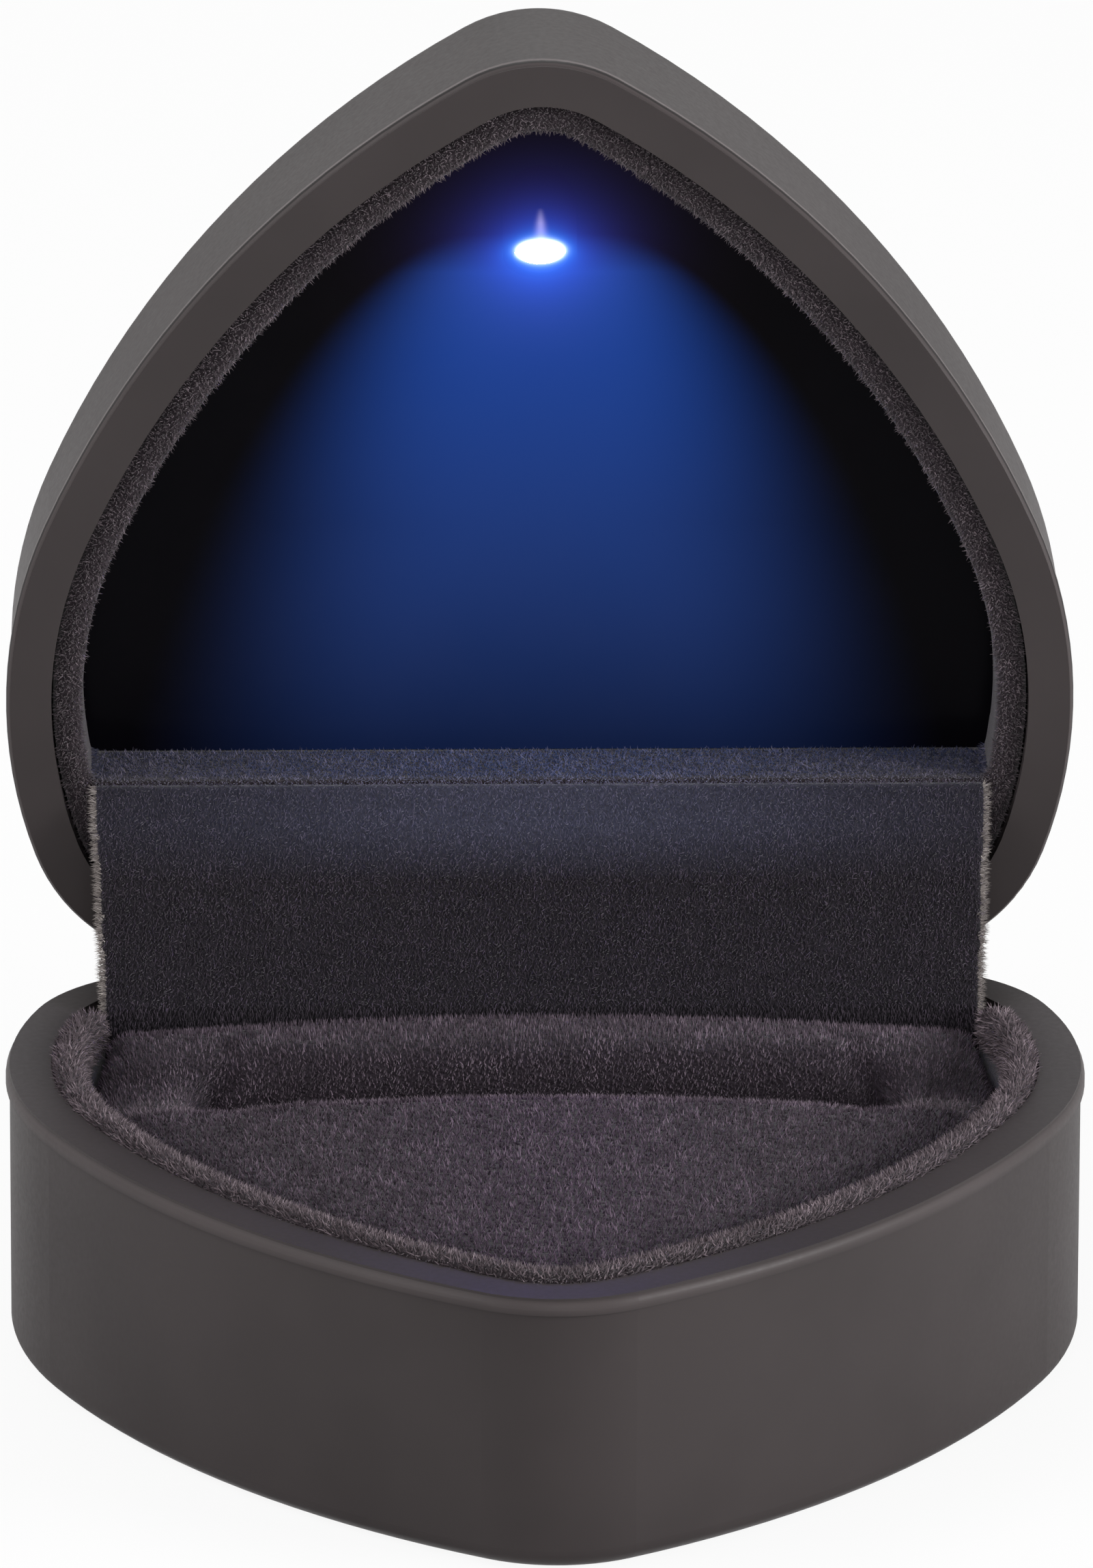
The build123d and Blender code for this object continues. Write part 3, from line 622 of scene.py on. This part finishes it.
def lamp_wash(tree):
    """Painted light of the lamp on what lies round it, as emission: a wash down the panel, a halo and a
    flare.
    """
    place = add(tree, "ShaderNodeTexCoord").outputs["Object"]
    parts = add(tree, "ShaderNodeSeparateXYZ", {0: place})
    x = maths(tree, "MULTIPLY", parts.outputs["X"], 1 / mm)
    proud = maths(tree, "SUBTRACT", PANEL_FACE, maths(tree, "MULTIPLY", parts.outputs["Y"], 1 / mm))
    drawn = maths(tree, "MULTIPLY", proud, -HALO_SLANT)
    z = maths(tree, "MULTIPLY_ADD", parts.outputs["Z"], 1 / mm, drawn)
    across = square(tree, x, WASH_HALF_WIDTH)
    climbed = maths(tree, "SUBTRACT", z, WASH_MIDDLE)
    up = maths(tree, "MAXIMUM", maths(tree, "DIVIDE", climbed, WASH_HALF_HEIGHT), 0.0)
    reach = maths(tree, "SQRT", maths(tree, "ADD", across, square(tree, up, 1.0)))
    end = maths(tree, "MULTIPLY_ADD", maths(tree, "SUBTRACT", 67.0, z), 0.0095, 1.12)
    start = maths(tree, "MAXIMUM", up, 0.5)
    inside = maths(
        tree, "DIVIDE", maths(tree, "SUBTRACT", end, reach),
        maths(tree, "MAXIMUM", maths(tree, "SUBTRACT", end, start), 0.04), clamp=True,
    )
    edge = add(tree, "ShaderNodeMapRange", {"Value": inside}, interpolation_type="SMOOTHSTEP").outputs[0]
    climb = maths(tree, "MULTIPLY", level(tree, z, 35.0, 70.0, 0.046, 0.315),
                  level(tree, z, 71.3, 74.2, 1.0, 0.0))
    wash = maths(tree, "MULTIPLY", edge, climb)
    blue = add(
        tree, "ShaderNodeMix",
        {0: level(tree, z, 35.0, 65.0, 0.0, 1.0), 6: WASH_BLUE[0], 7: WASH_BLUE[1]}, data_type="RGBA",
    ).outputs[2]
    drop = maths(tree, "SUBTRACT", z, LAMP_HEIGHT)
    span = maths(tree, "SQRT", maths(tree, "ADD", square(tree, x, 1.0), square(tree, drop, 1.0)))
    oval = maths(tree, "SQRT", maths(
        tree, "ADD", square(tree, x, GLARE_HALF_WIDTH), square(tree, drop, GLARE_HALF_HEIGHT)))
    away = maths(tree, "MAXIMUM", maths(
        tree, "SUBTRACT", span, maths(tree, "DIVIDE", span, maths(tree, "MAXIMUM", oval, 0.05))), -0.4)
    taper = level(tree, drop, 1.0, 3.3, 0.42, 0.16)
    narrow = square(tree, maths(tree, "DIVIDE", x, taper), 1.0)
    spike = maths(tree, "MULTIPLY", fading(tree, narrow, 1.0),
                  maths(tree, "MULTIPLY", level(tree, drop, 2.1, 3.3, 1.0, 0.0),
                        maths(tree, "GREATER_THAN", drop, 0.0)))
    return plus(
        tree,
        tint(tree, blue, wash),
        tint(tree, (1.0, 1.0, 1.0), maths(tree, "MULTIPLY", fading(tree, away, 0.13), 0.40)),
        tint(tree, (0.0, 0.19, 0.30), fading(tree, away, 0.42)),
        tint(tree, (0.0, 0.07, 0.80), fading(tree, away, 1.8)),
        tint(tree, (0.036, 0.013, 0.0), fading(tree, away, 3.2)),
        tint(tree, (0.29, 0.25, 0.35), spike),
    )


acrylic = finish("black_acrylic", Roughness=0.18, Specular_IOR_Level=0.03, Emission_Strength=1.0)
tree = acrylic.node_tree
smudge = grain(tree, 0.12, detail=4, roughness=0.6)
surface(
    acrylic,
    colour=ramp(tree, smudge, (0.3, (0.0015, 0.0013, 0.0022, 1)), (0.7, (0.0024, 0.0021, 0.0032, 1))),
    roughness=level(tree, smudge, 0.3, 0.7, 0.16, 0.24),
)
# The panel glows with the lamp's painted light.
tree.links.new(lamp_wash(tree), tree.nodes["Principled BSDF"].inputs["Emission Color"])
dress(["light_panel"], acrylic)

# A painted glint: an even faint glow on the hood in place of gloss, added to the lamp's painted light.
HOOD_GLINT = (0.0035, 0.0028, 0.003)
hood_plastic = finish("hood_plastic", Specular_IOR_Level=0.0, Emission_Strength=1.0)
tree = hood_plastic.node_tree
spark = grain(tree, 6, detail=4)
surface(
    hood_plastic,
    colour=ramp(tree, spark, (0.3, (0.0002, 0.0002, 0.0003, 1)), (0.7, (0.0004, 0.0004, 0.0006, 1))),
    roughness=level(tree, spark, 0.3, 0.7, 0.35, 0.5),
)
tree.links.new(
    plus(tree, lamp_wash(tree), HOOD_GLINT), tree.nodes["Principled BSDF"].inputs["Emission Color"])
dress(["led_hood"], hood_plastic)

LENS_LIGHT = 160.0
lens = finish("lit_lens", Base_Color=(0.9, 0.93, 1.0, 1), Roughness=0.1, Emission_Strength=LENS_LIGHT)
tree = lens.node_tree
swirl = grain(tree, 0.8, detail=1)
light = ramp(tree, swirl, (0.3, (0.26, 0.19, 1.0, 1)), (0.7, (0.32, 0.23, 1.0, 1)))
tree.links.new(light, tree.nodes["Principled BSDF"].inputs["Emission Color"])
dress(["led_lens"], lens)

# ---------------------------------------------------------------------------------------------
# Lid band: the same velvet-wrapped strip round the lid's recess, with the ledge across its
# lower end, wrapped in one with it. The ledge's front edge carries the fold of the flap.
# ---------------------------------------------------------------------------------------------
LID_BAND_NAP = ((0.042, 0.034, 0.039, 1), (0.190, 0.155, 0.172, 1))
LEDGE_NAP = ((0.020, 0.016, 0.020, 1), (0.160, 0.133, 0.160, 1))
# Painted light on the ledge's fibres, glowing as emission: the lamp's blue, and a highlight along the
# fold at the ledge's front edge.
LEDGE_LIGHT = ((0.000, 0.014, 0.058), 27.0, "Z", 30.0, 35.0)
FOLD_LIGHT = ((0.045, 0.040, 0.042), 60.0, "Y", 22.3, 20.9)
LEDGE_HALF = 32.8
LEDGE_BACK = 27.6

ledge_fibres = nap("ledge_fibres", *LEDGE_NAP)
lid_band = soft_copy("lid_band", ["lid_liner"], 0.4)
worked(lid_band, "SMOOTH", iterations=4)
lid_band.data.materials.append(band_backing)
lid_band_nap = pile(
    lid_band, "lid_band_nap", nap("lid_band_fibres", *LID_BAND_NAP), per_mm2=38, length=0.42, width=0.11,
    spread=0.7, seed=41,
    keep=lambda place, normal: normal.y < 0.3 and (place.y < 21.6 or normal.y < -0.5)
    and (place.z > 36 or abs(place.x) > 32.4),
)
ledge_nap = pile(
    lid_band, "ledge_nap", ledge_fibres, per_mm2=36, length=0.42, width=0.10,
    lean=(0, -0.4, -0.5), seed=45,
    keep=lambda place, normal: abs(place.x) < LEDGE_HALF and 33 < place.z < 37
    and place.y < LEDGE_BACK and normal.z > -0.75,
)
catching(ledge_fibres, LEDGE_LIGHT, FOLD_LIGHT)
for piece in (lid_band, lid_band_nap, ledge_nap):
    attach(piece, "lid")
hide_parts("lid_liner")

# ---------------------------------------------------------------------------------------------
# Flap: thin card laminated in velvet, creased where it leaves the ledge, its foot tucked down
# behind the cushion. It hides the hinge. Its cut edges fray.
# ---------------------------------------------------------------------------------------------
FLAP_BACKING = ((0.005, 0.004, 0.006, 1), (0.015, 0.012, 0.017, 1))
FLAP_NAP = ((0.010, 0.0075, 0.011, 1), (0.058, 0.044, 0.062, 1))
# Painted light, glowing as emission from the flap's ground and fibres: the lamp's blue on the top of the
# flap.
FLAP_LIGHT = ((0.024, 0.027, 0.046), 26.0, "Z", 28.6, 32.0)
EDGE_NAP = ((0.130, 0.110, 0.105, 1), (0.420, 0.380, 0.360, 1))
FLAP_NAP_FROM = 19
CUT_EDGE_FROM = 18

flap = soft_copy("flap", ["hinge_flap"], 0.33)
worked(flap, "SMOOTH", iterations=2)
flap_ground = backing("flap_backing", *FLAP_BACKING)
catching(flap_ground, FLAP_LIGHT, spots=grain(flap_ground.node_tree, 5.5, detail=3))
flap.data.materials.append(flap_ground)
flap_fibres = nap("flap_fibres", *FLAP_NAP)
catching(flap_fibres, FLAP_LIGHT)
flap_nap = pile(
    flap, "flap_nap", flap_fibres, per_mm2=32, length=0.48, width=0.105,
    lean=(0, 0.25, -0.9), seed=51,
    keep=lambda place, normal: (normal.y < -0.2 or normal.z > 0.3)
    and place.z > FLAP_NAP_FROM and abs(normal.x) < 0.6,
)
flap_edge = pile(
    flap, "flap_edge", nap("cut_edge", *EDGE_NAP), per_mm2=70, length=0.7, width=0.10,
    spread=0.55, seed=61,
    keep=lambda place, normal: abs(normal.x) > 0.5 and place.z > CUT_EDGE_FROM,
)
for piece in (flap, flap_nap, flap_edge):
    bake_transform(piece)
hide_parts("hinge_flap")

# ---------------------------------------------------------------------------------------------
# Studio: a plain pale floor, soft panels of light above and to the sides, and a long lens.
# The floor is clear from below, and to rays that start just above it, to show the underside.
# ---------------------------------------------------------------------------------------------
FLOOR_SIZE = 6
FLOOR_DROP = 0.05
CLEAR_WITHIN = 1.0
FLOOR_WHITE = 0.9
AMBIENT = 0.35

bpy.ops.object.select_all(action="DESELECT")
bpy.ops.mesh.primitive_plane_add(size=FLOOR_SIZE, location=(0, 0, -FLOOR_DROP * mm))
floor = bpy.context.object
floor.name = "floor"
paper = bpy.data.materials.new("white_paper")
paper.use_nodes = True
tree = paper.node_tree
tree.nodes.clear()
sight = add(tree, "ShaderNodeLightPath")
fibre = grain(tree, 0.02, detail=2)
sheet = add(tree, "ShaderNodeBsdfDiffuse", {
    "Color": ramp(tree, fibre, (0.3, (0.80, 0.80, 0.80, 1)), (0.7, (0.82, 0.82, 0.82, 1)))})
glow = add(tree, "ShaderNodeEmission", {"Color": (1, 1, 1, 1), "Strength": 1.0})
seen = add(tree, "ShaderNodeMixShader", {
    0: maths(tree, "MULTIPLY", sight.outputs["Is Camera Ray"], FLOOR_WHITE),
    1: sheet.outputs[0], 2: glow.outputs[0]})
under = maths(tree, "MAXIMUM", add(tree, "ShaderNodeNewGeometry").outputs["Backfacing"],
              maths(tree, "LESS_THAN", sight.outputs["Ray Length"], CLEAR_WITHIN * mm))
clear = add(tree, "ShaderNodeBsdfTransparent")
open_below = add(tree, "ShaderNodeMixShader", {0: under, 1: seen.outputs[0], 2: clear.outputs[0]})
out = add(tree, "ShaderNodeOutputMaterial")
tree.links.new(open_below.outputs[0], out.inputs["Surface"])
floor.data.materials.append(paper)

world = bpy.context.scene.world or bpy.data.worlds.new("studio")
bpy.context.scene.world = world
world.use_nodes = True
tree = world.node_tree
tree.nodes.clear()
sight = add(tree, "ShaderNodeLightPath")
bounced = maths(tree, "MAXIMUM", sight.outputs["Is Glossy Ray"], sight.outputs["Is Transmission Ray"])
shown = maths(tree, "MAXIMUM", sight.outputs["Is Camera Ray"], bounced)
room = add(tree, "ShaderNodeBackground", {
    "Color": (1, 1, 1, 1), "Strength": level(tree, shown, 0, 1, AMBIENT, 1.0)})
out = add(tree, "ShaderNodeOutputWorld")
tree.links.new(room.outputs[0], out.inputs["Surface"])

AIM = Vector((0, -10, 35)) * mm


def soft_light(name, place, size, power):
    """A square panel of light that faces the box."""
    bpy.ops.object.light_add(type="AREA", location=Vector(place) * mm)
    lamp = bpy.context.object
    lamp.name = name
    lamp.data.shape = "SQUARE"
    lamp.data.size = size * mm
    lamp.data.energy = power
    lamp.rotation_euler = (AIM - lamp.location).to_track_quat("-Z", "Y").to_euler()


soft_light("rear_panel", (0, 450, 600), 400, 1.2)
soft_light("top_panel", (-450, -50, 550), 400, 1.5)
soft_light("right_panel", (650, -230, 200), 300, 5.4)
soft_light("left_panel", (-600, -350, 200), 350, 1.8)
soft_light("front_panel", (0, -700, 250), 400, 1.2)

TARGET = Vector((-0.4016, -18.5637, 47.9276)) * mm
TURN = math.radians(-1.2933)
RISE = math.radians(19.0829)
ROLL = math.radians(0.1924)
DISTANCE = 1207.18 * mm
SENSOR = 36
LENS = 392.0
back = Vector((math.sin(TURN) * math.cos(RISE), -math.cos(TURN) * math.cos(RISE), math.sin(RISE)))
right = (-back).cross(Vector((0, 0, 1))).normalized()
up = right.cross(-back)
right, up = right * math.cos(ROLL) + up * math.sin(ROLL), up * math.cos(ROLL) - right * math.sin(ROLL)
bpy.ops.object.camera_add()
camera = bpy.context.object
turned = Matrix((right, up, back)).transposed().to_4x4()
camera.matrix_world = Matrix.Translation(TARGET + back * DISTANCE) @ turned
camera.data.sensor_width = SENSOR
camera.data.lens = LENS
camera.data.clip_start = 0.01
bpy.context.scene.camera = camera
bpy.context.scene.view_settings.view_transform = "Standard"
